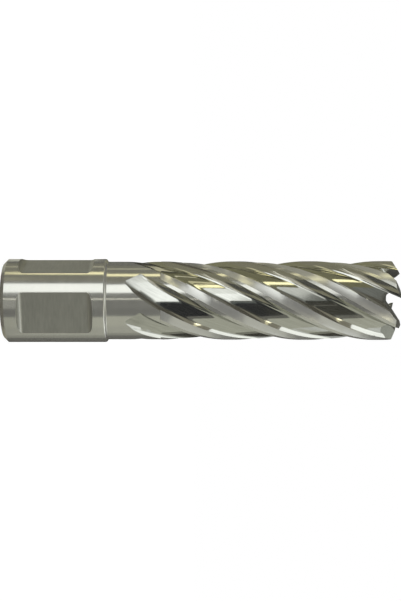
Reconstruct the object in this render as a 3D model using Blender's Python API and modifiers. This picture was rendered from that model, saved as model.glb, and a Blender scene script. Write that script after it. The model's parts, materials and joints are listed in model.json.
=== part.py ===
"""Annular cutter in one piece: a hollow cylindrical cutter with six right-hand helical flutes,
six ground teeth and a shank with two side-lock flats at a right angle.

It stands on the end of its shank: the origin is the centre of that end face, and +Z runs along
the axis to the teeth. One flat faces -Y and the other faces -X. Sizes are in millimetres, turned
into metres where the meshes are made.
"""

import math

import bmesh
import bpy
from mathutils import Matrix, Vector

MM = 0.001

# Lengths along the axis, from the shank's end to the teeth
SHANK_LENGTH = 23.0
PLAIN_NECK_LENGTH = 4.6
RUNOUT_SKEW = 3.7
RELIEF_SETBACK = 4.5
CUTTING_LENGTH = 54.2
BORE_PAST_LANDS = 3.8

# Diameters, and what lies between them
SHANK_DIAMETER = 19.05
CUTTING_DIAMETER = 18.1
BACK_TAPER = 0.2
NECK_STEP = 0.05
FLUTE_DEPTH = 1.48
WALL_UNDER_FLUTES = 2.07
PILOT_DIAMETER = 6.5

# Edges of the turned form
END_CHAMFER = 0.95
SHOULDER_ANGLE = 65.0
SHOULDER_ROUND_SHARE = 0.96
SHOULDER_FILLET_SHARE = 0.32
NECK_STEP_RUN = 0.06
PILOT_CHAMFER = 0.5
BORE_CONE_RUN = 1.3

# Side-lock flats
FLAT_DEPTH = 1.325
FLAT_START = 5.05
FLAT_TO_SHOULDER = 3.7
FLAT_CORNER_RADIUS = 1.3
FLAT_WALL_ANGLE = 70.0
FLAT_DIRECTIONS = (270.0, 180.0)

# Flutes: widths round the axis are shares of one pitch, and the floor takes what they leave
FLUTE_COUNT = 6
FLUTE_LEAD = 100.8
LEADING_EDGE_ANGLE = 36.5
RAKE_WALL_SHARE = 0.1783
HEEL_WALL_SHARE = 0.1167
RELIEF_SHARE = 0.235
MARGIN_SHARE = 0.0983
RELIEF_DROP = 0.28
FLOOR_CLIMB_SHARE = 0.378

# The hollow rake wall between its foot and its edge: shares of its width and of its height
RAKE_WALL_CURVE = ((0.0, 0.0), (0.2854, 0.0963), (0.577, 0.3265), (0.8421, 0.6753))

# Where a flute runs out on the neck: the deep corner of its floor reaches the surface first
RUNOUT_CORNER_SHARE = 0.753
RUNOUT_HEEL_RISE = 1.5
RUNOUT_LENGTH = 7.5
RUNOUT_RAKE_LENGTH = 12.0

# Teeth, ground on the open end
CREST_FROM_BORE = 1.2
OUTER_BEVEL = 26.6
INNER_BEVEL = 30.0
CLEARANCE_ANGLE = 13.5
INNER_FACET_WIDTH = 3.8
GASH_DEPTH = 4.04
GASH_BOTTOM_WIDTH = 2.2
GASH_FILLET_SHARE = 0.4
GASH_BACK_ANGLE = 33.0
GASH_OUTWARD_TILT = 24.0
GASH_INTO_FACE = 0.3

# Fineness of the mesh, and how far cutters reach past what they cut
TURNED_STEPS = 72
BORE_STEPS = 48
SHOULDER_STEPS = 4
HEEL_STEPS = 3
CORNER_STEPS = 4
FLUTE_STEP = 1.55
RUNOUT_STEP = 0.85
CUTTER_OVERRUN = 2.0
WALL_OVERRUN = 0.12
WALL_OVERRUN_SPLAY = 0.4

RUNOUT_CORNER_START = SHANK_LENGTH + PLAIN_NECK_LENGTH
RUNOUT_RAKE_START = RUNOUT_CORNER_START + RUNOUT_SKEW
RELIEF_START = RUNOUT_RAKE_START + RELIEF_SETBACK
OVERALL_LENGTH = RELIEF_START + CUTTING_LENGTH
BORE_BOTTOM = RELIEF_START - BORE_PAST_LANDS

SHANK_RADIUS = SHANK_DIAMETER / 2
TIP_RADIUS = CUTTING_DIAMETER / 2
RELIEF_START_RADIUS = TIP_RADIUS - BACK_TAPER / 2
NECK_RADIUS = RELIEF_START_RADIUS - NECK_STEP
FOOT_RADIUS = TIP_RADIUS - FLUTE_DEPTH
FLOOR_CLIMB = FLUTE_DEPTH * FLOOR_CLIMB_SHARE
BORE_RADIUS = FOOT_RADIUS - WALL_UNDER_FLUTES
CREST_RADIUS = BORE_RADIUS + CREST_FROM_BORE
PILOT_RADIUS = PILOT_DIAMETER / 2
FLAT_FROM_AXIS = SHANK_RADIUS - FLAT_DEPTH
CLEAR_RADIUS = max(SHANK_RADIUS, TIP_RADIUS) + CUTTER_OVERRUN

# Angles inside one pitch, counted from the leading edge of a land towards the land ahead
PITCH_ANGLE = 360.0 / FLUTE_COUNT
TWIST = 360.0 / FLUTE_LEAD
RAKE_FOOT = PITCH_ANGLE * RAKE_WALL_SHARE
RELIEF_EDGE = PITCH_ANGLE * (1.0 - MARGIN_SHARE)
HEEL_EDGE = RELIEF_EDGE - PITCH_ANGLE * RELIEF_SHARE
FLOOR_END = HEEL_EDGE - PITCH_ANGLE * HEEL_WALL_SHARE
RUNOUT_CORNER = RAKE_FOOT + (FLOOR_END - RAKE_FOOT) * RUNOUT_CORNER_SHARE
CLIMB_PER_DEGREE = FLOOR_CLIMB / (FLOOR_END - RAKE_FOOT)


def clear_scene():
    for thing in list(bpy.data.objects):
        bpy.data.objects.remove(thing, do_unlink=True)
    for group in list(bpy.data.collections):
        bpy.data.collections.remove(group)


def new_collection(name):
    group = bpy.data.collections.new(name)
    bpy.context.scene.collection.children.link(group)
    return group


def object_from_bmesh(name, shape, group):
    bmesh.ops.recalc_face_normals(shape, faces=shape.faces)
    mesh = bpy.data.meshes.new(name)
    shape.to_mesh(mesh)
    shape.free()
    thing = bpy.data.objects.new(name, mesh)
    group.objects.link(thing)
    return thing


def turned(name, profile, steps, group):
    """A solid of revolution. The profile is (radius, height) pairs down its outer side."""
    mesh = bpy.data.meshes.new(name)
    points = [(radius * MM, 0.0, height * MM) for radius, height in profile]
    edges = [(i, i + 1) for i in range(len(points) - 1)]
    mesh.from_pydata(points, edges, [])
    thing = bpy.data.objects.new(name, mesh)
    group.objects.link(thing)
    screw = thing.modifiers.new("Turn", "SCREW")
    screw.angle = math.radians(360.0)
    screw.steps = steps
    screw.render_steps = steps
    screw.use_merge_vertices = True
    screw.merge_threshold = 0.00001
    screw.use_smooth_shade = True
    return thing


def extruded(name, outline, travel, place, group):
    """A flat outline pushed along a straight travel into a solid, then put in its place."""
    shape = bmesh.new()
    face = shape.faces.new([shape.verts.new(Vector(point) * MM) for point in outline])
    pushed = bmesh.ops.extrude_face_region(shape, geom=[face])
    moved = [item for item in pushed["geom"] if isinstance(item, bmesh.types.BMVert)]
    bmesh.ops.translate(shape, vec=Vector(travel) * MM, verts=moved)
    bmesh.ops.transform(shape, matrix=place, verts=shape.verts)
    return object_from_bmesh(name, shape, group)


def arc(centre, radius, start, end, steps):
    """Points of a circular arc, with angles in degrees."""
    found = []
    for i in range(steps + 1):
        angle = math.radians(start + (end - start) * i / steps)
        found.append((centre[0] + radius * math.cos(angle),
                      centre[1] + radius * math.sin(angle)))
    return found


def shoulder_profile():
    """The step from the neck out to the shank: a small fillet, a short cone and a rounded edge.

    It is worked out as shares of the step, so it keeps its form when the diameters change.
    """
    step = SHANK_RADIUS - NECK_RADIUS
    slope = math.radians(SHOULDER_ANGLE)
    curves = SHOULDER_FILLET_SHARE + SHOULDER_ROUND_SHARE
    cone = 1.0 - curves * (1.0 - math.cos(slope))
    length = curves * math.sin(slope) + cone / math.tan(slope)
    shares = []
    for i in range(SHOULDER_STEPS + 1):
        turn = slope * i / SHOULDER_STEPS
        shares.append((SHOULDER_FILLET_SHARE * (1.0 - math.cos(turn)),
                       length - SHOULDER_FILLET_SHARE * math.sin(turn)))
    for i in range(SHOULDER_STEPS + 1):
        turn = slope * (1.0 - i / SHOULDER_STEPS)
        shares.append((1.0 - SHOULDER_ROUND_SHARE * (1.0 - math.cos(turn)),
                       SHOULDER_ROUND_SHARE * math.sin(turn)))
    return [(NECK_RADIUS + step * out, SHANK_LENGTH + abs(step) * along)
            for out, along in shares]


def blank_profile():
    """The outer form before any cut: the cutting length, the neck, the shoulder and the shank."""
    top = OVERALL_LENGTH + CUTTER_OVERRUN / 4
    return [
        (0.0, top),
        (TIP_RADIUS, top),
        (RELIEF_START_RADIUS, RELIEF_START),
        (NECK_RADIUS, RELIEF_START - NECK_STEP_RUN),
        *shoulder_profile(),
        (SHANK_RADIUS, END_CHAMFER),
        (SHANK_RADIUS - END_CHAMFER, 0.0),
        (0.0, 0.0),
    ]


def bore_profile():
    """The slug bore from the teeth down, and the pilot hole through the shank."""
    return [
        (0.0, OVERALL_LENGTH + CUTTER_OVERRUN),
        (BORE_RADIUS, OVERALL_LENGTH + CUTTER_OVERRUN),
        (BORE_RADIUS, BORE_BOTTOM + BORE_CONE_RUN),
        (PILOT_RADIUS, BORE_BOTTOM),
        (PILOT_RADIUS, PILOT_CHAMFER),
        (PILOT_RADIUS + PILOT_CHAMFER + CUTTER_OVERRUN, -CUTTER_OVERRUN),
        (0.0, -CUTTER_OVERRUN),
    ]


def land_radius(height):
    """Radius of a margin at this height: the cutting length tapers back from the teeth."""
    share = max(height - RELIEF_START, 0.0) / CUTTING_LENGTH
    return RELIEF_START_RADIUS + (TIP_RADIUS - RELIEF_START_RADIUS) * share


def polar(angle, radius):
    turn = math.radians(angle)
    return radius * math.cos(turn), radius * math.sin(turn)


def on_line(start, through, radius):
    """Where the line from start through a second point reaches the given radius.

    All three points are (angle, radius) pairs.
    """
    ax, ay = polar(*start)
    bx, by = polar(*through)
    dx, dy = bx - ax, by - ay
    a = dx * dx + dy * dy
    b = ax * dx + ay * dy
    c = ax * ax + ay * ay - radius * radius
    along = (-b + math.sqrt(max(b * b - a * c, 0.0))) / a
    x, y = ax + along * dx, ay + along * dy
    return math.degrees(math.atan2(y, x)), math.hypot(x, y)


def floor_radius(angle):
    """The floor climbs slowly from the foot of the rake wall towards the heel."""
    inside = min(max(angle, RAKE_FOOT), FLOOR_END)
    return FOOT_RADIUS + CLIMB_PER_DEGREE * (inside - RAKE_FOOT)


def runout_left(angle, height):
    """What is left of the climb to the neck: 0 at the flute's full depth, 1 where it ends."""
    share = min(max(angle, 0.0) / RUNOUT_CORNER, 1.0)
    past = min(max(angle - RUNOUT_CORNER, 0.0) / (FLOOR_END - RUNOUT_CORNER), 1.0)
    start = RUNOUT_RAKE_START - RUNOUT_SKEW * share + RUNOUT_HEEL_RISE * past
    length = RUNOUT_RAKE_LENGTH + (RUNOUT_LENGTH - RUNOUT_RAKE_LENGTH) * share
    return max(1.0 - (height - start) / length, 0.0)


def runout_lift(angle, height, depth):
    """How far a point has risen where the flute runs out, from this depth under the neck."""
    return depth * runout_left(angle, height) ** 2


def wall_slide(height):
    """The angle by which the raised rake wall moves over, so that its edge stays on its helix."""
    share = 1.0 - min(runout_left(0.0, height), 1.0) ** 2
    curve = (*RAKE_WALL_CURVE, (1.0, 1.0))
    for (out, up), (next_out, next_up) in zip(curve, curve[1:]):
        if share <= next_up:
            part = (share - up) / (next_up - up)
            return RAKE_FOOT * (1.0 - out - (next_out - out) * part)
    return 0.0


def rake_wall(edge):
    """Points of the hollow rake wall from above its edge down to its foot."""
    points = []
    for out, up in reversed(RAKE_WALL_CURVE):
        points.append((RAKE_FOOT * (1.0 - out), FOOT_RADIUS + (edge - FOOT_RADIUS) * up))
    brow = on_line(points[0], (0.0, edge), edge + WALL_OVERRUN)
    return [brow, *points]


def heel_wall(edge):
    """Points of the heel wall, which leaves the floor smoothly and grows steeper to its edge."""
    span = HEEL_EDGE - FLOOR_END
    foot = floor_radius(FLOOR_END)
    bend = (edge - RELIEF_DROP - foot - CLIMB_PER_DEGREE * span) / span ** 2
    points = []
    for i in range(HEEL_STEPS + 1):
        out = span * i / HEEL_STEPS
        points.append((FLOOR_END + out, foot + CLIMB_PER_DEGREE * out + bend * out ** 2))
    return points


def flute_section(height, relieved):
    """The space that one flute takes at this height, as (angle, radius) points.

    It runs in along the rake wall, over the floor, out along the heel wall and, where the land
    ahead is relieved, on over that land's relief as far as its margin.
    """
    edge = land_radius(height)
    slide = wall_slide(height)
    points = []
    for angle, radius in rake_wall(edge):
        lift = runout_lift(angle - slide, height, NECK_RADIUS - FOOT_RADIUS)
        points.append((angle - slide, radius + lift))
    for angle, moved in ((RAKE_FOOT + RUNOUT_CORNER) / 2, slide / 2), (RUNOUT_CORNER, 0.0):
        radius = floor_radius(angle)
        lift = runout_lift(angle - moved, height, NECK_RADIUS - radius)
        points.append((angle - moved, radius + lift))
    heel = heel_wall(edge)
    if relieved:
        last = on_line(heel[-1], (RELIEF_EDGE, edge), edge + WALL_OVERRUN)
    else:
        last = on_line(heel[-2], heel[-1], edge + WALL_OVERRUN)
    lift = runout_lift(FLOOR_END, height, NECK_RADIUS - floor_radius(FLOOR_END))
    points += [(angle, radius + lift) for angle, radius in (*heel, last)]
    clear = CLEAR_RADIUS + runout_lift(0.0, height, NECK_RADIUS - FOOT_RADIUS)
    first_corner = (points[0][0] - WALL_OVERRUN_SPLAY, clear)
    last_corner = (points[-1][0] + WALL_OVERRUN_SPLAY, clear)
    return [first_corner, *points, last_corner]


def spread(start, end, step):
    """Heights from start to end, evenly spaced by about the given step."""
    count = max(round((end - start) / step), 1)
    return [start + (end - start) * i / count for i in range(count + 1)]


def flute_heights():
    """Heights of the sections, closer together in the run-out, with a pair at the neck's step."""
    runout = spread(RUNOUT_CORNER_START - CUTTER_OVERRUN / 2, RELIEF_START - NECK_STEP_RUN,
                    RUNOUT_STEP)
    full = spread(RELIEF_START, OVERALL_LENGTH + CUTTER_OVERRUN, FLUTE_STEP)
    return [(height, False) for height in runout] + [(height, True) for height in full]


def flute_cutter(number, group):
    """One flute, with the relief of the land ahead of it, as a helical loft."""
    shape = bmesh.new()
    rings = []
    for height, relieved in flute_heights():
        turn = LEADING_EDGE_ANGLE + TWIST * height + PITCH_ANGLE * number
        ring = []
        for angle, radius in flute_section(height, relieved):
            x, y = polar(turn + angle, radius)
            ring.append(shape.verts.new((x * MM, y * MM, height * MM)))
        rings.append(ring)
    shape.faces.new(reversed(rings[0]))
    shape.faces.new(rings[-1])
    count = len(rings[0])
    for low, high in zip(rings, rings[1:]):
        for i in range(count):
            j = (i + 1) % count
            shape.faces.new((low[i], low[j], high[j]))
            shape.faces.new((low[i], high[j], high[i]))
    return object_from_bmesh(f"flute_{number}", shape, group)


def flat_cutter(number, direction, group):
    """A side-lock flat: its floor is plane, and each end rises through a rounded corner."""
    radius = FLAT_CORNER_RADIUS
    wall = math.radians(FLAT_WALL_ANGLE)
    top = FLAT_DEPTH + CUTTER_OVERRUN
    reach = radius * math.sin(wall) + (top - radius * (1.0 - math.cos(wall))) / math.tan(wall)
    low = FLAT_START
    high = SHANK_LENGTH - FLAT_TO_SHOULDER
    outline = [(low - reach, top)]
    outline += arc((low, radius), radius, 270.0 - FLAT_WALL_ANGLE, 270.0, CORNER_STEPS)
    outline += arc((high, radius), radius, 270.0, 270.0 + FLAT_WALL_ANGLE, CORNER_STEPS)
    outline += [(high + reach, top)]
    half_width = SHANK_RADIUS
    corners = [(FLAT_FROM_AXIS + out, -half_width, height) for height, out in outline]
    place = Matrix.Rotation(math.radians(direction), 4, "Z")
    return extruded(f"flat_cutter_{number}", corners, (0.0, 2 * half_width, 0.0), place, group)


def tooth_frame(number):
    """Turns +X through the crest of this tooth's leading face, with +Y the way it cuts."""
    turn = LEADING_EDGE_ANGLE + TWIST * OVERALL_LENGTH + RAKE_FOOT + PITCH_ANGLE * number
    return Matrix.Rotation(math.radians(turn), 4, "Z")


def facet_cutter(name, slope, span_x, span_y, place, group):
    """All that stands above one ground facet of a tooth.

    The facet passes through the crest of the ground leading face, falls outward by the slope in
    degrees and falls back behind that face by the clearance angle.
    """
    outward = math.tan(math.radians(slope))
    back = math.tan(math.radians(CLEARANCE_ANGLE))
    outline = []
    for x, y in ((span_x[0], span_y[0]), (span_x[1], span_y[0]),
                 (span_x[1], span_y[1]), (span_x[0], span_y[1])):
        fall = outward * (x - CREST_RADIUS) - back * (y + GASH_INTO_FACE)
        outline.append((x, y, OVERALL_LENGTH - fall))
    return extruded(name, outline, (0.0, 0.0, 2 * CLEAR_RADIUS), place, group)


def gash_outline():
    """The gash in front of a tooth, seen along the radius: leading face, rounded bottom, back."""
    lean = math.radians(TWIST) * CREST_RADIUS
    lean_angle = math.degrees(math.atan(lean))
    height = GASH_DEPTH + CUTTER_OVERRUN
    face_foot = -lean * GASH_DEPTH - GASH_INTO_FACE
    back_foot = face_foot + GASH_BOTTOM_WIDTH
    radius = GASH_FILLET_SHARE * GASH_BOTTOM_WIDTH
    corner = radius * math.tan(math.radians(45.0 + lean_angle / 2))
    outline = [(back_foot + height / math.tan(math.radians(GASH_BACK_ANGLE)), height),
               (back_foot, 0.0)]
    outline += arc((face_foot + corner, radius), radius, 270.0, 180.0 - lean_angle, CORNER_STEPS)
    outline += [(face_foot + lean * height, height)]
    return outline


def tooth_cutters(number, group):
    """The two facets of one tooth's crest, and the gash in front of it."""
    place = tooth_frame(number)
    facet_cutter(f"outer_bevel_{number}", OUTER_BEVEL, (0.0, CLEAR_RADIUS),
                 (-CLEAR_RADIUS, CUTTER_OVERRUN), place, group)
    facet_cutter(f"inner_bevel_{number}", -INNER_BEVEL,
                 (PILOT_RADIUS, CREST_RADIUS + CUTTER_OVERRUN),
                 (-INNER_FACET_WIDTH, CUTTER_OVERRUN / 2), place, group)
    reach = CLEAR_RADIUS - PILOT_RADIUS
    fall = math.tan(math.radians(GASH_OUTWARD_TILT))
    bottom = OVERALL_LENGTH - GASH_DEPTH + fall * (CREST_RADIUS - PILOT_RADIUS)
    outline = [(PILOT_RADIUS, y, bottom + z) for y, z in gash_outline()]
    extruded(f"gash_{number}", outline, (reach, 0.0, -fall * reach), place, group)


def cut(target, group):
    """Takes every cutter of the collection away in one exact cut."""
    for cutter in group.objects:
        cutter.hide_render = True
        cutter.display_type = "WIRE"
    boolean = target.modifiers.new("Machined", "BOOLEAN")
    boolean.operation = "DIFFERENCE"
    boolean.solver = "EXACT"
    boolean.operand_type = "COLLECTION"
    boolean.collection = group


def steel():
    material = bpy.data.materials.new("ground_steel")
    material.use_nodes = True
    shader = material.node_tree.nodes["Principled BSDF"]
    shader.inputs["Base Color"].default_value = (0.52, 0.51, 0.47, 1.0)
    shader.inputs["Metallic"].default_value = 1.0
    shader.inputs["Roughness"].default_value = 0.24
    return material


clear_scene()
parts = new_collection("annular_cutter")
cutters = new_collection("cutters")

body = turned("cutter", blank_profile(), TURNED_STEPS, parts)
body.data.materials.append(steel())
for number in range(FLUTE_COUNT):
    flute_cutter(number, cutters)
    tooth_cutters(number, cutters)
for number, direction in enumerate(FLAT_DIRECTIONS):
    flat_cutter(number, direction, cutters)
turned("bore_cutter", bore_profile(), BORE_STEPS, cutters)
cut(body, cutters)
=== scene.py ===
# %% [markdown]
# # An annular cutter, ground from one bar of high-speed steel
# The real tool is a single piece: a plain shank with two flats for set screws, a short neck and
# a hollow cutting length with six helical flutes and six end teeth. We could model it as a stack
# of separate pieces, but on the real one every edge runs into the next, so it is one mesh here
# too. It is made the way the tool is: a turned blank, then one cut for every grinding wheel.
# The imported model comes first, because our piece has to stay inside its box.

import json
import math

import bmesh
import bpy
from mathutils import Matrix, Vector

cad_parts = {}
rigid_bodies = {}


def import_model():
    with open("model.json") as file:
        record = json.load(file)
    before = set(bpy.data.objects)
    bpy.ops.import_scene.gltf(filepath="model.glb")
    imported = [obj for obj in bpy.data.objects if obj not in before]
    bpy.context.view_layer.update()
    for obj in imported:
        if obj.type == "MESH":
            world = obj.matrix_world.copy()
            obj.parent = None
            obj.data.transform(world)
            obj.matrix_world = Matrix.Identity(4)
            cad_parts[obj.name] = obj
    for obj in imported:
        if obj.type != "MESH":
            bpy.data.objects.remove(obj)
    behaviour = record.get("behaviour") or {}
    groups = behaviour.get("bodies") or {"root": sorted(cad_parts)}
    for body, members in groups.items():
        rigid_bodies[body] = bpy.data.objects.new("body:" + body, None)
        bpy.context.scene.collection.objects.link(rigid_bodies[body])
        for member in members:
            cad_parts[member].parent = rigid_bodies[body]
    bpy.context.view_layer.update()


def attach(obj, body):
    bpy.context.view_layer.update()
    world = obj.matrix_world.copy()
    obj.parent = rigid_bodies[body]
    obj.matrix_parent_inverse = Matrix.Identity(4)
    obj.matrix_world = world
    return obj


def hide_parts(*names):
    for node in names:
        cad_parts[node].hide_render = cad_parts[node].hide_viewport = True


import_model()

# %% [markdown]
# ## The sizes
# All sizes are in millimetres, and `MM` turns them into metres where a mesh is made. The shank
# end is at height 0 and the tooth crests are at 90. The flutes run out on the neck at their lower
# end, and there the floor rises to the surface.

# %% Sizes of the turned form and the flats
MM = 0.001

OVERALL_LENGTH = 90.0
SHANK_LENGTH = 23.0
RELIEF_START = 35.8
BORE_BOTTOM = 32.0
SHANK_RADIUS = 9.525
NECK_RADIUS = 8.9
RELIEF_START_RADIUS = 8.95
TIP_RADIUS = 9.05
BORE_RADIUS = 5.5
PILOT_RADIUS = 3.25
END_CHAMFER = 0.95
SHOULDER_SLOPE = 65.0
SHOULDER_ROUND = 0.6
SHOULDER_FILLET = 0.2
FLAT_FROM_AXIS = 8.2
FLAT_LOW, FLAT_HIGH = 5.05, 19.3
FLAT_WALL_ANGLE = 70.0
FLAT_CORNER = 1.3
BORE_CONE = 1.3
PILOT_CHAMFER = 0.5
FLUTES = 6
OVERRUN = 2.0
COARSE = 1.0
print("shank", 2 * SHANK_RADIUS, "mm across,", OVERALL_LENGTH, "mm long, mesh steps times", COARSE)

# %% [markdown]
# ## Shader maths as plain expressions
# A material that shows grinding marks needs some arithmetic on coordinates. Wiring each Math node
# by hand hides the idea, so a small class wraps a socket and lets us write `1 - rub` or
# `height * 2`. Any other node comes from one method that takes its type, its settings and the
# values or links of its sockets. A material and the air round the tool both use it.

# %% A socket that understands arithmetic, and a builder for its nodes
class Wire:
    """One output socket, on which arithmetic adds Math nodes."""

    def __init__(self, nodes, socket):
        self.nodes = nodes
        self.socket = socket

    def maths(self, operation, first, second):
        return self.nodes.node("ShaderNodeMath", {"operation": operation}, {0: first, 1: second})

    def __add__(self, other):
        return self.maths("ADD", self, other)

    def __radd__(self, other):
        return self.maths("ADD", other, self)

    def __sub__(self, other):
        return self.maths("SUBTRACT", self, other)

    def __rsub__(self, other):
        return self.maths("SUBTRACT", other, self)

    def __mul__(self, other):
        return self.maths("MULTIPLY", self, other)

    def __rmul__(self, other):
        return self.maths("MULTIPLY", other, self)


class Nodes:
    """A node tree, and the one method that adds a node to it."""

    def __init__(self, tree):
        self.tree = tree

    def node(self, kind, settings=None, sockets=None, output=0):
        made = self.tree.nodes.new(kind)
        for key, value in (settings or {}).items():
            if key == "stops":
                self.set_stops(made.color_ramp, value)
            else:
                setattr(made, key, value)
        self.feed(made, sockets or {})
        return Wire(self, made.outputs[output])

    def feed(self, target, sockets):
        for key, value in sockets.items():
            if isinstance(value, Wire):
                self.tree.links.new(value.socket, target.inputs[key])
            else:
                target.inputs[key].default_value = value

    @staticmethod
    def set_stops(ramp, stops):
        """Grey stops, as (position, level) pairs."""
        for element, (position, level) in zip(ramp.elements, stops):
            element.position = position
            element.color = (level, level, level, 1.0)


class Finish(Nodes):
    """One material, with the nodes that make its surface."""

    def __init__(self, name):
        self.material = bpy.data.materials.new(name)
        self.material.use_nodes = True
        super().__init__(self.material.node_tree)
        self.shader = self.tree.nodes["Principled BSDF"]
        self.output = self.tree.nodes["Material Output"]


print("helpers:", Wire.__name__, Nodes.__name__, Finish.__name__)

# %% [markdown]
# ## Where a mark runs
# Grinding leaves fine lines along the path of the wheel. Round the shank the lines are circles,
# so a noise is squeezed along the axis: it changes fast with height and slowly across. In a flute
# they follow the helix, so the coordinates are first unwound by the twist, and the noise is then
# squeezed across instead of along. Both use the object's own coordinates, because the surface has
# no unwrapped map and needs none.

# %% Coordinates in millimetres, plain and unwound
FLUTE_LEAD = 100.8
TWIST = 360.0 / FLUTE_LEAD


def millimetres(finish):
    place = finish.node("ShaderNodeTexCoord", output="Object")
    return finish.node("ShaderNodeVectorMath", {"operation": "SCALE"},
                       {0: place, "Scale": 1 / MM})


def height_of(finish, place):
    return finish.node("ShaderNodeSeparateXYZ", sockets={0: place}, output="Z")


def unwound(finish, place):
    return finish.node("ShaderNodeVectorRotate", {"rotation_type": "Z_AXIS"},
                       {"Vector": place,
                        "Angle": height_of(finish, place) * -math.radians(TWIST)})


def stretched_noise(finish, place, across, along, detail=2.0, rough=0.5):
    """A noise whose grains are as many per millimetre across and along the axis as given."""
    scaled = finish.node("ShaderNodeVectorMath", {"operation": "MULTIPLY"},
                         {0: place, 1: (across, across, along)})
    return finish.node("ShaderNodeTexNoise", {"noise_dimensions": "3D"},
                       {"Vector": scaled, "Scale": 1.0, "Detail": detail, "Roughness": rough})


print("one turn of the flutes in", FLUTE_LEAD, "mm, or", round(TWIST, 3), "degrees a mm")

# %% [markdown]
# ## The finishes
# One steel, six surfaces. A wheel that runs round the shank leaves it satin, a finer wheel leaves
# the flutes like mirrors, the lands lie between, and the two flats are coarse and matt. Painting
# them by hand on one map is the other way, but a material for each wheel keeps every surface
# exactly as wide as its cut. The metal's scatter is stretched across the marks with a fixed
# anisotropy, and a little of each surface scatters light all ways, as fine scratches do. Three
# noises make the tone: the fine marks, broad bands of them, and stains that follow nothing. Near
# its lower end a flute is a little duller, because the wheel only rubs there as it leaves.

# %% One function for a ground surface
STEEL = (0.60, 0.595, 0.54)
BRIGHT_STEEL = (0.655, 0.655, 0.60)
BROAD_SHARE, BROAD_LEAST = 0.12, 0.05
STAIN_GRAIN = 0.35
TONE_FROM, TONE_TO = 0.3, 0.7
RUB_FROM, RUB_TO = 28.0, 35.5
RUB_TONE, RUB_ROUGHNESS = 0.20, 0.13
MARK_TURN = 0.25
MIXED_COLOUR = 2


def ground(name, colour, rough, metallic, marks, depth, spread=0.0, twist=False, contrast=0.1,
           rubbed=False):
    """marks is grains per millimetre (across, along); depth is the marks' height in mm."""
    finish = Finish(name)
    place = millimetres(finish)
    path = unwound(finish, place) if twist else place
    fine = stretched_noise(finish, path, *marks, detail=3.0)
    broad = stretched_noise(finish, path, *[mark * BROAD_SHARE + BROAD_LEAST for mark in marks])
    stain = stretched_noise(finish, place, STAIN_GRAIN, STAIN_GRAIN, detail=4.0)
    tone = finish.node("ShaderNodeValToRGB",
                       {"stops": [(TONE_FROM, 1.0 - contrast), (TONE_TO, 1.0)]},
                       {0: fine * 0.5 + broad * 0.25 + stain * 0.25})
    roughness = rough * 0.85 + broad * (rough * 0.3)
    if rubbed:
        rub = finish.node("ShaderNodeMapRange", None, {
            "Value": height_of(finish, place), "From Min": RUB_FROM, "From Max": RUB_TO,
            "To Min": 1.0, "To Max": 0.0})
        tone = tone * (1.0 - rub * RUB_TONE)
        roughness = roughness + rub * RUB_ROUGHNESS
    tint = finish.node("ShaderNodeMix", {"data_type": "RGBA", "blend_type": "MULTIPLY"},
                       {"Factor": 1.0, "A": (*colour, 1.0), "B": tone}, output=MIXED_COLOUR)
    bump = finish.node("ShaderNodeBump", None,
                       {"Strength": 1.0, "Distance": depth * MM, "Height": fine})
    finish.feed(finish.shader, {
        "Base Color": tint, "Roughness": roughness, "Metallic": metallic,
        "Anisotropic": spread, "Anisotropic Rotation": MARK_TURN, "Normal": bump})
    return finish.material


FINISHES = [
    ground("shank_ground", STEEL, 0.18, 0.75, (0.15, 9.0), 0.0006, spread=0.6),
    ground("flat_ground", (0.52, 0.52, 0.465), 0.38, 0.80, (0.4, 2.6), 0.004, contrast=0.24),
    ground("flute_polished", BRIGHT_STEEL, 0.07, 0.96, (2.8, 0.08), 0.0003, twist=True,
           contrast=0.22, rubbed=True),
    ground("land_ground", (0.63, 0.63, 0.585), 0.20, 0.64, (5.0, 0.2), 0.0006, spread=0.2,
           twist=True),
    ground("tooth_ground", (0.57, 0.57, 0.52), 0.24, 0.85, (4.0, 4.0), 0.001),
    ground("bore_drilled", (0.45, 0.43, 0.38), 0.38, 0.90, (0.2, 5.0), 0.002),
]
SHANK, FLAT, FLUTE, LAND, TOOTH, BORE = range(len(FINISHES))
print("finishes:", [finish.name for finish in FINISHES])

# %% [markdown]
# ## The blank
# A lathe makes the outer form, so a profile turned round the axis is the plain choice. Between
# neck and shank come a small fillet, a short steep cone and a rounded corner. The cutting length
# is 0.2 mm thinner at its lower end than at the teeth. The top stands a little above the teeth,
# which are cut down from it later.

# %% Turn the blank
BLANK_STEPS = 288
BLANK_SPARE = 0.5
LAND_STEP = 0.06
FILLET_STEPS, ROUND_STEPS = 8, 10
work = bpy.data.collections.new("grinding_wheels")
bpy.context.scene.collection.children.link(work)


def object_from(shape, name, group=None):
    bmesh.ops.recalc_face_normals(shape, faces=shape.faces)
    mesh = bpy.data.meshes.new(name)
    shape.to_mesh(mesh)
    shape.free()
    for finish in FINISHES:
        mesh.materials.append(finish)
    made = bpy.data.objects.new(name, mesh)
    (group or bpy.context.scene.collection).objects.link(made)
    return made


def turned(name, profile, steps, finish, group=None):
    """A closed solid of revolution from (radius, height) pairs that start and end on the axis."""
    shape = bmesh.new()
    rings = []
    for radius, height in profile[1:-1]:
        ring = []
        for i in range(steps):
            angle = 2 * math.pi * i / steps
            ring.append(shape.verts.new((radius * MM * math.cos(angle),
                                         radius * MM * math.sin(angle), height * MM)))
        rings.append(ring)
    for upper, lower in zip(rings, rings[1:]):
        for i in range(steps):
            j = (i + 1) % steps
            shape.faces.new((upper[i], lower[i], lower[j], upper[j]))
    shape.faces.new(rings[0])
    shape.faces.new(reversed(rings[-1]))
    for face in shape.faces:
        face.material_index = finish
    return object_from(shape, name, group)


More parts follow.
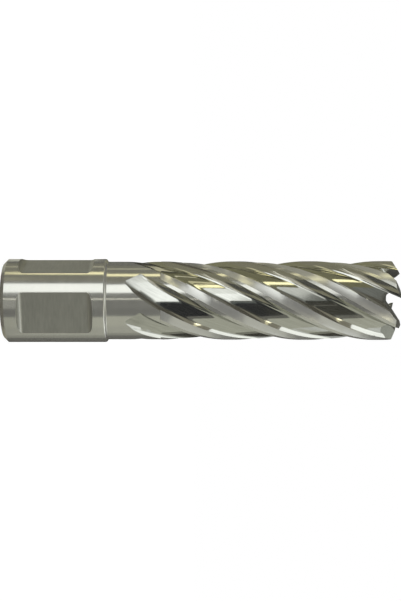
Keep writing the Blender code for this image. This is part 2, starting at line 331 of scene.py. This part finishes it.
def shoulder():
    """From the neck out to the shank: a small fillet, a short cone and a rounded corner."""
    slope = math.radians(SHOULDER_SLOPE)
    drop = SHANK_RADIUS - NECK_RADIUS
    cone = drop - (SHOULDER_FILLET + SHOULDER_ROUND) * (1 - math.cos(slope))
    foot = (SHOULDER_FILLET + SHOULDER_ROUND) * math.sin(slope) + cone / math.tan(slope)
    found = []
    for i in range(FILLET_STEPS + 1):
        turn = slope * i / FILLET_STEPS
        found.append((NECK_RADIUS + SHOULDER_FILLET * (1 - math.cos(turn)),
                      SHANK_LENGTH + foot - SHOULDER_FILLET * math.sin(turn)))
    for i in range(ROUND_STEPS + 1):
        turn = slope * (1 - i / ROUND_STEPS)
        found.append((SHANK_RADIUS - SHOULDER_ROUND * (1 - math.cos(turn)),
                      SHANK_LENGTH + SHOULDER_ROUND * math.sin(turn)))
    return found


top = OVERALL_LENGTH + BLANK_SPARE
blank = turned("annular_cutter_body", [
    (0.0, top), (TIP_RADIUS, top), (RELIEF_START_RADIUS, RELIEF_START),
    (NECK_RADIUS, RELIEF_START - LAND_STEP), *shoulder(), (SHANK_RADIUS, END_CHAMFER),
    (SHANK_RADIUS - END_CHAMFER, 0.0), (0.0, 0.0)], round(BLANK_STEPS / COARSE), SHANK)
print("blank:", len(blank.data.polygons), "faces")

# %% [markdown]
# ## The section of a flute
# All six flutes share one section, given here as angles from the leading edge of a land and
# radii. The rake wall is hollow, because a round-edged wheel grinds it: steep at the edge and
# tangent to the floor. The floor climbs slowly towards the heel, and the heel wall goes on from
# it and grows steeper to its edge. Past that edge, the back of the next land is ground to a flat
# relief that meets the margin. The points are spread so that no two neighbours turn by more than
# a few degrees, since a polished face shows every corner.

# %% Points of the section at one height
LEADING_EDGE = 36.5
PITCH = 360.0 / FLUTES
RAKE_FOOT, FLOOR_END, HEEL_EDGE, RELIEF_EDGE = 10.7, 33.0, 40.0, 54.1
FOOT_RADIUS = 7.57
FLOOR_CLIMB = 0.56
RELIEF_DROP = 0.28
RAKE_SLOPES = (-8.0, 70.0)
RAKE_TIGHTNESS = 0.42
LIP = 0.12
RAKE_STEPS, RAKE_FINE_STEPS = 14, 600
FLOOR_STEPS, HEEL_STEPS, HEEL_END_STEPS = 8, 8, 4
RELIEF_SHARES = (0.33, 0.67, 0.9, 1.0)


def land_radius(height):
    share = max(height - RELIEF_START, 0.0) / (OVERALL_LENGTH - RELIEF_START)
    return RELIEF_START_RADIUS + (TIP_RADIUS - RELIEF_START_RADIUS) * share


def floor_radius(angle):
    return FOOT_RADIUS + FLOOR_CLIMB * (angle - RAKE_FOOT) / (FLOOR_END - RAKE_FOOT)


def hollow_wall():
    """Shares of the way out (0 at the foot, 1 at the edge) and of the height, foot first."""
    along, up, found = 0.0, 0.0, []
    targets = [(i / RAKE_STEPS) ** 2 for i in range(RAKE_STEPS + 1)]
    for k in range(RAKE_FINE_STEPS + 1):
        while targets and k / RAKE_FINE_STEPS >= targets[0]:
            found.append((along, up))
            targets.pop(0)
        share = ((k + 0.5) / RAKE_FINE_STEPS) ** RAKE_TIGHTNESS
        slope = math.radians(RAKE_SLOPES[0] + (RAKE_SLOPES[1] - RAKE_SLOPES[0]) * share)
        along += math.cos(slope)
        up += math.sin(slope)
    last = found[-1]
    return [(a / last[0], b / last[1]) for a, b in found]


RAKE_WALL = hollow_wall()


def heel_curve(edge):
    """The heel as climb per degree and per squared degree, through the heel edge."""
    climb = FLOOR_CLIMB / (FLOOR_END - RAKE_FOOT)
    span = HEEL_EDGE - FLOOR_END
    return climb, (edge - RELIEF_DROP - FOOT_RADIUS - FLOOR_CLIMB - climb * span) / span ** 2


def wall_slide(left):
    """The angle by which a raised rake wall moves over, so that its edge stays on its helix."""
    share = 1 - min(left, 1.0) ** 2
    for (out, up), (next_out, next_up) in zip(RAKE_WALL, RAKE_WALL[1:]):
        if next_up >= share:
            part = (share - up) / (next_up - up)
            return RAKE_FOOT * (1 - out - (next_out - out) * max(part, 0.0))
    return 0.0


def rake_points(edge, slide, left):
    """From a little past the leading edge down to the foot."""
    points = []
    for out, up in reversed(RAKE_WALL):
        angle = RAKE_FOOT * (1 - out) - slide
        lift = (NECK_RADIUS - FOOT_RADIUS) * left(angle) ** 2
        points.append((angle, FOOT_RADIUS + (edge - FOOT_RADIUS) * up + lift, FLUTE))
    rim, below = points[0], points[1]
    slope = (rim[1] - below[1]) / (rim[0] - below[0])
    return [(rim[0] + LIP / slope, rim[1] + LIP, FLUTE), *points]


def floor_points(slide, left):
    points = []
    for i in range(1, FLOOR_STEPS + 1):
        angle = RAKE_FOOT + (FLOOR_END - RAKE_FOOT) * i / FLOOR_STEPS
        radius = floor_radius(angle)
        angle -= slide * (1 - i / FLOOR_STEPS)
        points.append((angle, radius + (NECK_RADIUS - radius) * left(angle) ** 2, FLUTE))
    return points


def across(angle, radius):
    """The point at an angle in degrees and a radius, seen along the axis."""
    turn = math.radians(angle)
    return radius * math.cos(turn), radius * math.sin(turn)


def relief_points(start, through, radius, lift):
    """The straight relief, from start on through a point until it is past the surface."""
    (ax, ay), (bx, by) = across(*start), across(*through)
    dx, dy = bx - ax, by - ay
    a, b, c = dx * dx + dy * dy, ax * dx + ay * dy, ax * ax + ay * ay - radius * radius
    reach = (-b + math.sqrt(b * b - a * c)) / a
    found = []
    for share in RELIEF_SHARES:
        x, y = ax + dx * reach * share, ay + dy * reach * share
        found.append((math.degrees(math.atan2(y, x)), math.hypot(x, y) + lift, LAND))
    return found


def heel_points(edge, left, relieved):
    """The heel wall, then the relief, or on the neck the same wall on through the surface."""
    climb, bend = heel_curve(edge)
    foot = floor_radius(FLOOR_END)
    lift = (NECK_RADIUS - foot) * left(FLOOR_END) ** 2
    span = HEEL_EDGE - FLOOR_END
    outs = [span * i / HEEL_STEPS for i in range(1, HEEL_STEPS)]
    if not relieved:
        reach = (math.sqrt(climb ** 2 + 4 * bend * (edge + LIP - foot)) - climb) / (2 * bend)
        outs += [span + (reach - span) * i / HEEL_END_STEPS for i in range(HEEL_END_STEPS + 1)]
    points = [(FLOOR_END + out, foot + climb * out + bend * out ** 2 + lift, FLUTE)
              for out in outs]
    if relieved:
        heel = (HEEL_EDGE, edge - RELIEF_DROP)
        points.append((HEEL_EDGE, heel[1] + lift, LAND))
        points += relief_points(heel, (RELIEF_EDGE, edge), edge + LIP, lift)
    return points


def flute_section(height, left, relieved):
    """(angle, radius, finish of the face that follows) round the space that the wheel clears."""
    edge = land_radius(height)
    slide = wall_slide(left(0.0))
    return (rake_points(edge, slide, left) + floor_points(slide, left)
            + heel_points(edge, left, relieved))


print("rake wall:", len(RAKE_WALL), "points")

# %% [markdown]
# ## Where the flutes run out
# The wheel leaves the work on the neck, so the floor climbs along a curve and the flute ends in
# the round print of the wheel. The print is askew: it starts nearest the shank at the heel side.
# The climb is worked out for every point of the section. The rake wall keeps its form there: it
# is lifted as a whole, and it slides over so that its edge stays on its own helix. The section is
# then wound up the helix as a loft, because no single sweep gives one that changes on its way.

# %% Loft the six flute cutters
RUNOUT_RAKE_START = 31.3
RUNOUT_CORNER_START = 27.6
RUNOUT_CORNER = 27.5
RUNOUT_HEEL_RISE = 1.5
RUNOUT_LENGTH = 7.5
RUNOUT_RAKE_LENGTH = 12.0
LOFT_STEP = 0.45
RUNOUT_FINER = 0.6
CLEAR_WIDTH = 0.4


def runout_left(angle, height):
    """1 where the floor reaches the neck at this angle, 0 where the flute has its depth."""
    share = min(max(angle, 0.0) / RUNOUT_CORNER, 1.0)
    start = RUNOUT_RAKE_START + (RUNOUT_CORNER_START - RUNOUT_RAKE_START) * share
    length = RUNOUT_RAKE_LENGTH + (RUNOUT_LENGTH - RUNOUT_RAKE_LENGTH) * share
    past = max(angle - RUNOUT_CORNER, 0.0) / (FLOOR_END - RUNOUT_CORNER)
    start += RUNOUT_HEEL_RISE * past
    return 1.0 - min((height - start) / length, 1.0)


def flute_heights():
    """(height, whether the land has its relief) for each ring of the loft."""
    step = LOFT_STEP * COARSE
    low, high = RUNOUT_CORNER_START - 1.0, RELIEF_START - LAND_STEP
    span = OVERALL_LENGTH + OVERRUN - RELIEF_START
    first, second = round((high - low) / (step * RUNOUT_FINER)), round(span / step)
    return ([(low + (high - low) * i / first, False) for i in range(first + 1)]
            + [(RELIEF_START + span * i / second, True) for i in range(second + 1)])


def flute_cutter(number):
    shape = bmesh.new()
    rings, finishes = [], []
    for height, relieved in flute_heights():
        section = flute_section(height, lambda angle: runout_left(angle, height), relieved)
        clear = SHANK_RADIUS + OVERRUN + runout_left(0.0, height) ** 2
        section = [(section[0][0] - CLEAR_WIDTH, clear, FLUTE), *section,
                   (section[-1][0] + CLEAR_WIDTH, clear, FLUTE)]
        turn = LEADING_EDGE + TWIST * height + PITCH * number
        rings.append([shape.verts.new((*across(turn + angle, radius * MM), height * MM))
                      for angle, radius, finish in section])
        finishes.append([finish for angle, radius, finish in section])
    shape.faces.new(reversed(rings[0]))
    shape.faces.new(rings[-1])
    count = len(rings[0])
    for low, high, marks in zip(rings, rings[1:], finishes):
        for i in range(count):
            j = (i + 1) % count
            for corners in ((low[i], low[j], high[j]), (low[i], high[j], high[i])):
                shape.faces.new(corners).material_index = marks[i]
    return object_from(shape, f"flute_wheel_{number}", work)


flutes = [flute_cutter(number) for number in range(FLUTES)]
print("flute cutters:", len(flutes), "with", len(flutes[0].data.polygons), "faces each")

# %% [markdown]
# ## The side-lock flats
# A set screw in the holder presses on each flat. They are pockets rather than flats that run out
# at the end: the floor is level and each end rises through a small round corner. A flat outline
# pushed across the shank is all it takes.

# %% Two pockets, a quarter turn apart
FLAT_CORNER_STEPS = 12
FLAT_DIRECTIONS = (270.0, 180.0)


def pushed(name, outline, travel, place, finish):
    shape = bmesh.new()
    face = shape.faces.new([shape.verts.new(Vector(point) * MM) for point in outline])
    found = bmesh.ops.extrude_face_region(shape, geom=[face])
    moved = [item for item in found["geom"] if isinstance(item, bmesh.types.BMVert)]
    bmesh.ops.translate(shape, vec=Vector(travel) * MM, verts=moved)
    bmesh.ops.transform(shape, matrix=place, verts=shape.verts)
    for face in shape.faces:
        face.material_index = finish
    return object_from(shape, name, work)


def arc(centre, radius, start, end, steps):
    turns = [math.radians(start + (end - start) * i / steps) for i in range(steps + 1)]
    return [(centre[0] + radius * math.cos(turn), centre[1] + radius * math.sin(turn))
            for turn in turns]


def flat_cutter(number, direction):
    wall = math.radians(FLAT_WALL_ANGLE)
    high = SHANK_RADIUS - FLAT_FROM_AXIS + OVERRUN
    rise = FLAT_CORNER * (1 - math.cos(wall))
    reach = FLAT_CORNER * math.sin(wall) + (high - rise) / math.tan(wall)
    outline = [(FLAT_LOW - reach, high)]
    outline += arc((FLAT_LOW, FLAT_CORNER), FLAT_CORNER, 270 - FLAT_WALL_ANGLE, 270,
                   FLAT_CORNER_STEPS)
    outline += arc((FLAT_HIGH, FLAT_CORNER), FLAT_CORNER, 270, 270 + FLAT_WALL_ANGLE,
                   FLAT_CORNER_STEPS)
    outline += [(FLAT_HIGH + reach, high)]
    corners = [(FLAT_FROM_AXIS + out, -SHANK_RADIUS, height) for height, out in outline]
    place = Matrix.Rotation(math.radians(direction), 4, "Z")
    return pushed(f"flat_wheel_{number}", corners, (0, 2 * SHANK_RADIUS, 0), place, FLAT)


flats = [flat_cutter(number, direction) for number, direction in enumerate(FLAT_DIRECTIONS)]
print("flats:", len(flats), "of", round(FLAT_HIGH - FLAT_LOW, 2), "mm,", FLAT_FROM_AXIS,
      "mm from the axis")

# %% [markdown]
# ## The teeth
# Each land ends in a tooth. Its crest is a roof of two ground facets: one falls outward and one
# falls towards the bore, and both fall back behind the cutting edge, so that only the edge
# touches the work. In front of each tooth a gash gives the chip room. Its outline has a round
# bottom, and it is pushed out from the bore, falling as it goes. Facets and gashes are plain
# blocks set on the crest, which keeps the ridge and the cutting edges dead sharp.

# %% Facets and gashes
CREST_RADIUS = 6.7
CLEARANCE = 13.5
GASH_DEPTH = 4.04
GASH_WIDTH = 2.2
GASH_ROUND_SHARE, GASH_ROUND_STEPS = 0.4, 10
GASH_BACK_ANGLE = 33.0
GASH_FALL = 24.0
FACE_SETBACK = 0.3
OUTER_SLOPE, INNER_SLOPE = 26.6, -30.0
INNER_BACK = 3.8
FACET_HEIGHT = 30.0


def facet_cutter(name, slope, span_x, span_y, place):
    outward = math.tan(math.radians(slope))
    back = math.tan(math.radians(CLEARANCE))
    outline = [(x, y, OVERALL_LENGTH - outward * (x - CREST_RADIUS) + back * (y + FACE_SETBACK))
               for x, y in ((span_x[0], span_y[0]), (span_x[1], span_y[0]),
                            (span_x[1], span_y[1]), (span_x[0], span_y[1]))]
    return pushed(name, outline, (0, 0, FACET_HEIGHT), place, TOOTH)


def gash_outline():
    lean = math.radians(TWIST) * CREST_RADIUS
    lean_angle = math.degrees(math.atan(lean))
    height = GASH_DEPTH + OVERRUN
    face_foot = -lean * GASH_DEPTH - FACE_SETBACK
    back_foot = face_foot + GASH_WIDTH
    radius = GASH_ROUND_SHARE * GASH_WIDTH
    corner = radius * math.tan(math.radians(45 + lean_angle / 2))
    outline = [(back_foot + height / math.tan(math.radians(GASH_BACK_ANGLE)), height),
               (back_foot, 0.0)]
    outline += arc((face_foot + corner, radius), radius, 270, 180 - lean_angle, GASH_ROUND_STEPS)
    return outline + [(face_foot + lean * height, height)]


def tooth_cutters(number):
    turn = LEADING_EDGE + TWIST * OVERALL_LENGTH + RAKE_FOOT + PITCH * number
    place = Matrix.Rotation(math.radians(turn), 4, "Z")
    clear = SHANK_RADIUS + OVERRUN
    fall = math.tan(math.radians(GASH_FALL))
    bottom = OVERALL_LENGTH - GASH_DEPTH + fall * (CREST_RADIUS - PILOT_RADIUS)
    reach = clear - PILOT_RADIUS
    outline = [(PILOT_RADIUS, y, bottom + z) for y, z in gash_outline()]
    return [
        facet_cutter(f"outer_wheel_{number}", OUTER_SLOPE, (0, clear), (-clear, OVERRUN), place),
        facet_cutter(f"inner_wheel_{number}", INNER_SLOPE, (PILOT_RADIUS, CREST_RADIUS + OVERRUN),
                     (-INNER_BACK, OVERRUN / 2), place),
        pushed(f"gash_wheel_{number}", outline, (reach, 0, -fall * reach), place, TOOTH)]


tooth_wheels = [made for number in range(FLUTES) for made in tooth_cutters(number)]
print("tooth cutters:", len(tooth_wheels))

# %% [markdown]
# ## The bore
# The middle is hollow from the teeth down, to take the round slug that the cutter leaves, and a
# smaller hole goes on through the shank for the pin that pushes the slug out.

# %% Bore and pilot hole
BORE_STEPS = 144
turned("bore_wheel", [
    (0.0, OVERALL_LENGTH + OVERRUN), (BORE_RADIUS, OVERALL_LENGTH + OVERRUN),
    (BORE_RADIUS, BORE_BOTTOM + BORE_CONE), (PILOT_RADIUS, BORE_BOTTOM),
    (PILOT_RADIUS, PILOT_CHAMFER), (PILOT_RADIUS + PILOT_CHAMFER + OVERRUN, -OVERRUN),
    (0.0, -OVERRUN)], round(BORE_STEPS / COARSE), BORE, work)
print("bore", 2 * BORE_RADIUS, "mm, pilot hole", 2 * PILOT_RADIUS, "mm")

# %% [markdown]
# ## Cut
# One exact Boolean takes all the cutters away together. One cut after another leaves tiny gaps
# where two wheels meet on one line, and a single cut doesn't. Each cutter hands its finish on to
# the faces that it leaves. Edges that turn by more than a few degrees stay sharp, as ground
# edges are, and all else is shaded smooth.

# %% Apply the cut and hand the piece to the frame
SHARP_FROM = 11.0
boolean = blank.modifiers.new("Ground", "BOOLEAN")
boolean.operation = "DIFFERENCE"
boolean.solver = "EXACT"
boolean.operand_type = "COLLECTION"
boolean.collection = work
boolean.material_mode = "INDEX"
graph = bpy.context.evaluated_depsgraph_get()
cut_mesh = bpy.data.meshes.new_from_object(blank.evaluated_get(graph))
blank.modifiers.clear()
blank.data = cut_mesh
for made in list(work.objects):
    bpy.data.objects.remove(made, do_unlink=True)
bpy.data.collections.remove(work)
cut_mesh.shade_smooth()
cut_mesh.set_sharp_from_angle(angle=math.radians(SHARP_FROM))
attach(blank, "root")
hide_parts("cutter")
used = sorted({face.material_index for face in cut_mesh.polygons})
print("cutter:", len(cut_mesh.polygons), "faces, finishes", used)

# %% [markdown]
# ## The camera
# The photograph looks square at the axis from the side, from about fifteen diameters away, with
# the tool lying across the picture. Our tool stands on its shank, so the camera is level with
# its middle and rolled a quarter turn: the picture's right is up the axis.

# %% Place the camera
VIEW_ANGLE = 250.3
VIEW_DISTANCE = 0.280
VIEW_HEIGHT = 0.04475
SENSOR, LENS = 36.0, 73.08
NEAREST, FARTHEST = 0.01, 20.0
towards = Vector((math.cos(math.radians(VIEW_ANGLE)), math.sin(math.radians(VIEW_ANGLE)), 0.0))
right = Vector((0.0, 0.0, 1.0))
up = towards.cross(right)
camera = bpy.data.objects.new("camera", bpy.data.cameras.new("camera"))
bpy.context.scene.collection.objects.link(camera)
camera.data.sensor_width = SENSOR
camera.data.lens = LENS
camera.data.clip_start, camera.data.clip_end = NEAREST, FARTHEST
turn = Matrix((right, up, towards)).transposed()
camera.matrix_world = (Matrix.Translation(towards * VIEW_DISTANCE + Vector((0, 0, VIEW_HEIGHT)))
                       @ turn.to_4x4())
bpy.context.scene.camera = camera
print("camera", VIEW_DISTANCE, "m away, lens", LENS, "mm, sensor", SENSOR, "mm wide")

# %% [markdown]
# ## The studio
# Polished steel has almost no colour of its own: what we see in it is the room. The bands on the
# real shank and the zones in its flutes show a bright soft box, a warm lamp, a pale wall, a white
# sheet low down and dark cards in between. So the room is built as curved panels round the tool,
# each spanning some degrees round the axis and some degrees up. A nearer panel covers the ones
# behind it. They are lit from within, and only reflections see them: the camera and the floor
# don't. Directions round the axis count from the camera towards the top of the picture.

# %% Panels that only reflections see
PANEL_CENTRE = Vector((0.0, 0.0, 0.045))
PANEL_STEP = 6.0
HIDDEN_FROM = ("camera", "diffuse", "transmission", "volume_scatter", "shadow")


def glow(name, colour, strength):
    finish = Finish(name)
    lamp = finish.node("ShaderNodeEmission", None, {"Color": (*colour, 1.0), "Strength": strength})
    finish.feed(finish.output, {"Surface": lamp})
    return finish.material


def panel_steps(span):
    return max(2, math.ceil(abs(span[1] - span[0]) / PANEL_STEP) + 1)


def panel(name, around, upward, colour, strength, radius, slant=0.0):
    """A patch of a sphere between two angles round the axis and two angles above level.

    slant is how many degrees the top edge is moved on round the axis from the bottom edge.
    """
    shape = bmesh.new()
    columns, rows = panel_steps(around), panel_steps(upward)
    grid = []
    for i in range(columns):
        away = around[0] + (around[1] - around[0]) * i / (columns - 1)
        line = []
        for j in range(rows):
            turn = VIEW_ANGLE - away - slant * j / (rows - 1)
            level, rise = across(upward[0] + (upward[1] - upward[0]) * j / (rows - 1), radius)
            line.append(shape.verts.new(PANEL_CENTRE + Vector((*across(turn, level), rise))))
        grid.append(line)
    for first, second in zip(grid, grid[1:]):
        for j in range(rows - 1):
            shape.faces.new((first[j], first[j + 1], second[j + 1], second[j]))
    mesh = bpy.data.meshes.new(name)
    shape.to_mesh(mesh)
    shape.free()
    mesh.materials.append(glow(name, colour, strength))
    made = bpy.data.objects.new(name, mesh)
    bpy.context.scene.collection.objects.link(made)
    for kind in HIDDEN_FROM:
        setattr(made, "visible_" + kind, False)
    return made


# Each row: name, degrees round the axis, degrees up, colour, strength, radius in metres, slant.
ROOM = [
    ("room", (-180, 180), (-88, 88), (0.96, 1.0, 0.90), 0.105, 1.00),
    ("back_card", (126, 234), (-40, 60), (1.0, 0.98, 0.78), 0.045, 0.99),
    ("back_light", (138, 180), (-45, -6), (1.0, 1.0, 0.86), 0.50, 0.98),
    ("back_warm", (132, 146), (0, 9), (1.0, 0.95, 0.68), 0.60, 0.98),
    ("ground_card", (-180, 180), (-88, -48), (1.0, 0.92, 0.70), 0.12, 0.98),
    ("ground_edge", (-180, 180), (-48, -20), (1.0, 0.96, 0.70), 0.27, 0.98),
    ("ground_light", (-24, 20), (-36, -20), (1.0, 0.97, 0.84), 0.60, 0.97),
    ("ground_dark", (-90, -34), (-38, -28), (1.0, 1.0, 0.90), 0.09, 0.97),
    ("black_low", (-100, -28), (-20, -13.5), (0.9, 1.0, 1.0), 0.02, 0.96),
    ("light_low", (-22, 1), (-22, -13.5), (1.0, 1.0, 0.95), 0.90, 0.96),
    ("sky_ring", (-45, 100), (60, 88), (0.97, 1.0, 0.98), 1.30, 0.98),
    ("sky_ring_low", (-180, -45), (60, 88), (0.95, 1.0, 0.90), 0.47, 0.98),
    ("olive_card", (52, 126), (-13.5, 3.5), (1.0, 0.96, 0.50), 0.10, 0.97),
    ("olive_side", (60, 170), (3.5, 20), (1.0, 0.96, 0.56), 0.20, 0.97),
    ("olive_low", (76, 126), (-40, -13.5), (1.0, 0.97, 0.62), 0.27, 0.97),
    ("heel_card", (14, 62), (20, 60), (1.0, 0.92, 0.72), 0.09, 0.965),
    ("heel_card_side", (62, 140), (20, 60), (1.0, 0.98, 0.84), 0.19, 0.965),
    ("brown_wall", (-62, 14), (20, 60), (1.0, 0.95, 0.76), 0.27, 0.965),
    ("soft_box", (22, 47.2), (-15, 3.5), (0.96, 0.99, 1.0), 1.95, 0.95),
    ("soft_box_low", (9, 48), (-24, -15), (0.96, 0.99, 1.0), 1.70, 0.95, 6),
    ("soft_box_side", (11, 36), (3.5, 12), (0.96, 0.99, 1.0), 1.58, 0.945, 9),
    ("soft_box_far", (36, 56), (3.5, 12), (0.97, 1.0, 0.99), 1.25, 0.945, 9),
    ("soft_box_end", (20, 66), (12, 15.8), (0.97, 1.0, 0.98), 0.85, 0.95),
    ("soft_box_tail", (20, 66), (15.8, 20.5), (0.95, 1.0, 0.95), 0.20, 0.95),
    ("soft_box_rim", (47.2, 52), (-15, 3.5), (1.0, 1.0, 0.90), 0.12, 0.95),
    ("thin_line", (3.2, 5.1), (-40, 3.5), (1.0, 1.0, 0.90), 2.3, 0.95),
    ("thin_line_high", (3.0, 6.5), (14, 20), (1.0, 0.98, 0.84), 0.13, 0.94),
    ("warm_lamp", (76, 84.5), (-11.5, 3.5), (1.0, 0.93, 0.55), 2.1, 0.94),
    ("warm_lamp_low", (56, 68), (-28, -13.5), (1.0, 0.95, 0.64), 0.80, 0.95),
    ("warm_lamp_wide", (79, 87), (3.5, 11), (1.0, 0.94, 0.60), 0.75, 0.945),
    ("warm_lamp_side", (61, 74), (8.0, 19.0), (1.0, 0.94, 0.58), 2.0, 0.94, 34),
    ("upper_line", (104.5, 108.5), (-13.5, 6), (1.0, 0.96, 0.70), 0.8, 0.95),
    ("dim_strip", (-43, -25), (-13.5, 3.5), (0.95, 1.0, 0.92), 0.062, 0.96),
    ("dim_strip_high", (-42, -31), (3.5, 20.5), (1.0, 1.0, 0.90), 0.16, 0.955),
    ("black_card", (-33, 12), (3.5, 14), (0.7, 0.8, 1.0), 0.014, 0.95),
    ("black_card_rim", (11, 16), (3.5, 14), (0.9, 1.0, 1.0), 0.12, 0.95),
    ("black_card_end", (-28, 20), (14, 20.5), (1.0, 1.0, 0.80), 0.045, 0.953),
    ("pale_wall", (-80, -46.5), (-13.5, 3.5), (0.98, 1.0, 0.83), 0.50, 0.96),
    ("pale_wall_far", (-112, -80), (-13.5, 3.5), (0.98, 1.0, 0.85), 0.42, 0.96),
    ("pale_wall_high", (-115, -40), (3.5, 20.5), (0.98, 1.0, 0.86), 0.52, 0.97),
    ("pale_wall_end", (-126, -112), (-40, 31), (0.98, 1.0, 0.84), 0.24, 0.96),
    ("low_white", (-112, -58), (20.5, 48), (0.97, 1.0, 1.0), 1.45, 0.94),
    ("low_white_slant", (-100, -58), (20.5, 48), (0.97, 1.0, 1.0), 1.45, 0.935, 48),
    ("low_white_side", (-112, -84), (13.0, 20.5), (0.97, 1.0, 0.98), 0.72, 0.945),
    ("low_white_end", (-140, -112), (16, 40), (0.97, 1.0, 1.0), 0.60, 0.94),
    ("warm_glint", (-42, -34), (20.5, 31), (1.0, 0.95, 0.70), 2.6, 0.93, 21),
    ("warm_glint_high", (-20, -14), (31, 43), (1.0, 0.94, 0.64), 0.9, 0.93, 24),
]
panels = [panel(*entry) for entry in ROOM]
print("panels:", len(panels))

# %% [markdown]
# ## Floor, background and light
# The floor is a wide pale sheet and the air is white. Where only the camera looks, the floor
# glows at just the strength that reads as white, mixed with its own lit colour near the tool, so
# that the soft shadow at the tool's foot stays. The air has a strength of 1 where the camera, a
# reflection or a see-through material looks at it, and a little less as a light on the tool.

# %% Floor and world
FLOOR_HALF = 6.0
FLOOR_DROP = 0.00005
FLOOR_GLOW = 1.05
SHADOW_FROM, SHADOW_TO = 0.012, 0.05
SHADOW_LEAST = 0.9
AIR_LIGHT = 0.9

corners = [(-1, -1), (1, -1), (1, 1), (-1, 1)]
floor_mesh = bpy.data.meshes.new("floor")
floor_mesh.from_pydata([(x * FLOOR_HALF, y * FLOOR_HALF, 0) for x, y in corners], [],
                       [(0, 1, 2, 3)])
floor = bpy.data.objects.new("floor", floor_mesh)
floor.location.z = -FLOOR_DROP
floor.visible_glossy = False
bpy.context.scene.collection.objects.link(floor)
paper = Finish("floor_paper")
paper.feed(paper.shader, {"Base Color": (0.93, 0.93, 0.92, 1.0), "Roughness": 0.9})
white = paper.node("ShaderNodeEmission", None,
                   {"Color": (1.0, 1.0, 1.0, 1.0), "Strength": FLOOR_GLOW})
seen = paper.node("ShaderNodeLightPath", output="Is Camera Ray")
place = paper.node("ShaderNodeTexCoord", output="Object")
distance = paper.node("ShaderNodeVectorMath", {"operation": "LENGTH"}, {0: place},
                      output="Value")
away = paper.node("ShaderNodeMapRange", {"interpolation_type": "SMOOTHSTEP"},
                  {"Value": distance, "From Min": SHADOW_FROM, "From Max": SHADOW_TO,
                   "To Min": SHADOW_LEAST, "To Max": 1.0})
mixed = paper.node("ShaderNodeMixShader", None,
                   {0: seen * away, 1: Wire(paper, paper.shader.outputs[0]), 2: white})
paper.feed(paper.output, {"Surface": mixed})
floor_mesh.materials.append(paper.material)

world = bpy.data.worlds.new("studio_air")
bpy.context.scene.world = world
world.use_nodes = True
air = Nodes(world.node_tree)
any_seen = air.node("ShaderNodeLightPath", output="Is Camera Ray")
for ray in ("Is Glossy Ray", "Is Transmission Ray"):
    any_seen = air.node("ShaderNodeMath", {"operation": "MAXIMUM"},
                        {0: any_seen, 1: air.node("ShaderNodeLightPath", output=ray)})
level = air.node("ShaderNodeMapRange", None,
                 {"Value": any_seen, "To Min": AIR_LIGHT, "To Max": 1.0})
air.feed(world.node_tree.nodes["Background"],
         {"Color": (1.0, 1.0, 1.0, 1.0), "Strength": level})
bpy.context.scene.view_settings.view_transform = "Standard"
print("air strength 1 where it is seen and", AIR_LIGHT, "as a light")
